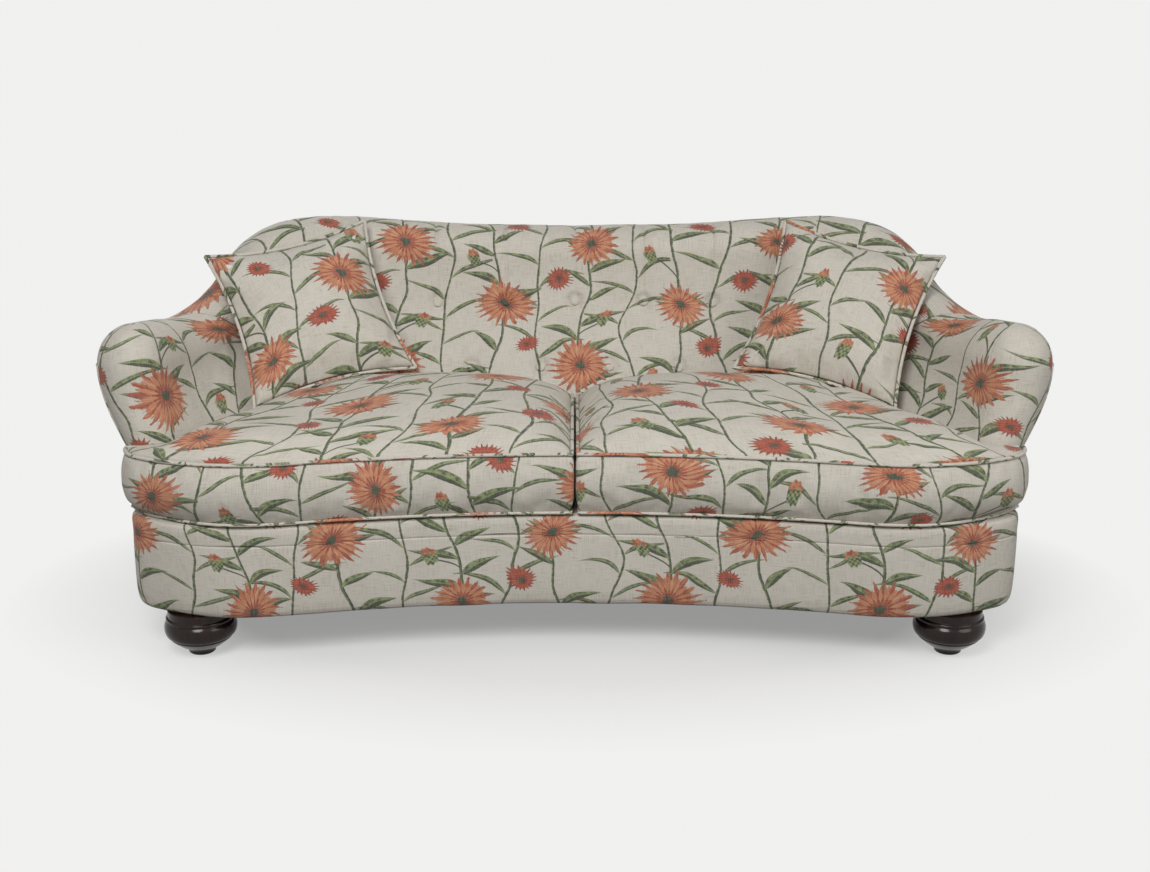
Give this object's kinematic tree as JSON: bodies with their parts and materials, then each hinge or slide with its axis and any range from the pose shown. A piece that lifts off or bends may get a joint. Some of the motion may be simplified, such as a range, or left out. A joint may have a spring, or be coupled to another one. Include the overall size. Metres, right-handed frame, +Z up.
{
  "type": "sofa",
  "caption": "Curved sofa with a serpentine front, loose seat cushions, flared padded arms, a button-tufted back with rounded wings, turned bun feet and scatter cushions.",
  "frame": {"origin": "on the floor under the middle of the sofa's bounding box", "axes": "+X towards the viewer's right, +Y towards the rear, +Z up; the sofa faces -Y"},
  "size_m": [2.0792, 0.9484, 0.855],
  "materials": {
    "cover_cloth": "slubbed linen with a printed botanical pattern",
    "piping_cloth": "linen cord covering, same cloth",
    "plain_cloth": "plain platform cloth",
    "black_cloth": "thin spunbonded cloth",
    "webbing": "woven elastic strap",
    "hessian": "open jute weave",
    "felt": "needled felt",
    "filling": "feather and fibre filling in a case",
    "foam": "open-cell foam",
    "frame_timber": "sawn hardwood",
    "board": "thin board",
    "dark_wood": "dark stained and lacquered",
    "spring_steel": "drawn wire and plated fittings",
    "zip_metal": "zip teeth and tape",
    "glide_plastic": "moulded"
  },
  "bodies": {
    "sofa_frame": {"front_rail": "frame_timber", "back_rail": "frame_timber", "side_rail_left": "frame_timber", "side_rail_right": "frame_timber", "cross_rails": "frame_timber", "foot_blocks": "frame_timber", "arm_base_boards": "frame_timber", "seat_springs": "spring_steel", "spring_clips": "spring_steel", "deck_hessian": "hessian", "deck_pad": "felt", "platform_cloth": "plain_cloth", "front_border": "cover_cloth", "dust_cover": "black_cloth", "foot_front_left": "dark_wood", "foot_front_right": "dark_wood", "foot_rear_left": "dark_wood", "foot_rear_right": "dark_wood", "centre_leg": "dark_wood", "foot_bolts": "spring_steel", "tee_nuts": "spring_steel", "glides": "glide_plastic", "arm_post_left": "frame_timber", "arm_post_right": "frame_timber", "arm_top_rail_left": "frame_timber", "arm_top_rail_right": "frame_timber", "arm_lining_left": "board", "arm_lining_right": "board", "arm_pad_left": "foam", "arm_pad_right": "foam", "inside_arm_cover_left": "cover_cloth", "inside_arm_cover_right": "cover_cloth", "outside_arm_panel_left": "cover_cloth", "outside_arm_panel_right": "cover_cloth", "back_posts": "frame_timber", "back_top_rail": "frame_timber", "back_webbing": "webbing", "back_pad": "foam", "inside_back_cover": "cover_cloth", "outside_back_panel": "cover_cloth", "back_buttons": "cover_cloth"},
    "seat_cushion_left": {"seat_core_left": "foam", "seat_cover_left": "cover_cloth", "seat_piping_left": "piping_cloth", "seat_zip_left": "zip_metal"},
    "scatter_cushion_left": {"scatter_pad_left": "filling", "scatter_cover_left": "cover_cloth", "scatter_piping_left": "piping_cloth"},
    "seat_cushion_right": {"seat_core_right": "foam", "seat_cover_right": "cover_cloth", "seat_piping_right": "piping_cloth", "seat_zip_right": "zip_metal"},
    "scatter_cushion_right": {"scatter_pad_right": "filling", "scatter_cover_right": "cover_cloth", "scatter_piping_right": "piping_cloth"}
  },
  "joints": [
    {"name": "seat_cushion_left_lift", "type": "slide", "parent": "sofa_frame", "child": "seat_cushion_left", "axis": [0, -0.342, 0.9397], "range_m": [0, 0.3]},
    {"name": "seat_cushion_right_lift", "type": "slide", "parent": "sofa_frame", "child": "seat_cushion_right", "axis": [0, -0.342, 0.9397], "range_m": [0, 0.3]},
    {"name": "scatter_cushion_left_lift", "type": "slide", "parent": "seat_cushion_left", "child": "scatter_cushion_left", "axis": [0, -0.5, 0.866], "range_m": [0, 0.25]},
    {"name": "scatter_cushion_right_lift", "type": "slide", "parent": "seat_cushion_right", "child": "scatter_cushion_right", "axis": [0, -0.5, 0.866], "range_m": [0, 0.25]}
  ]
}
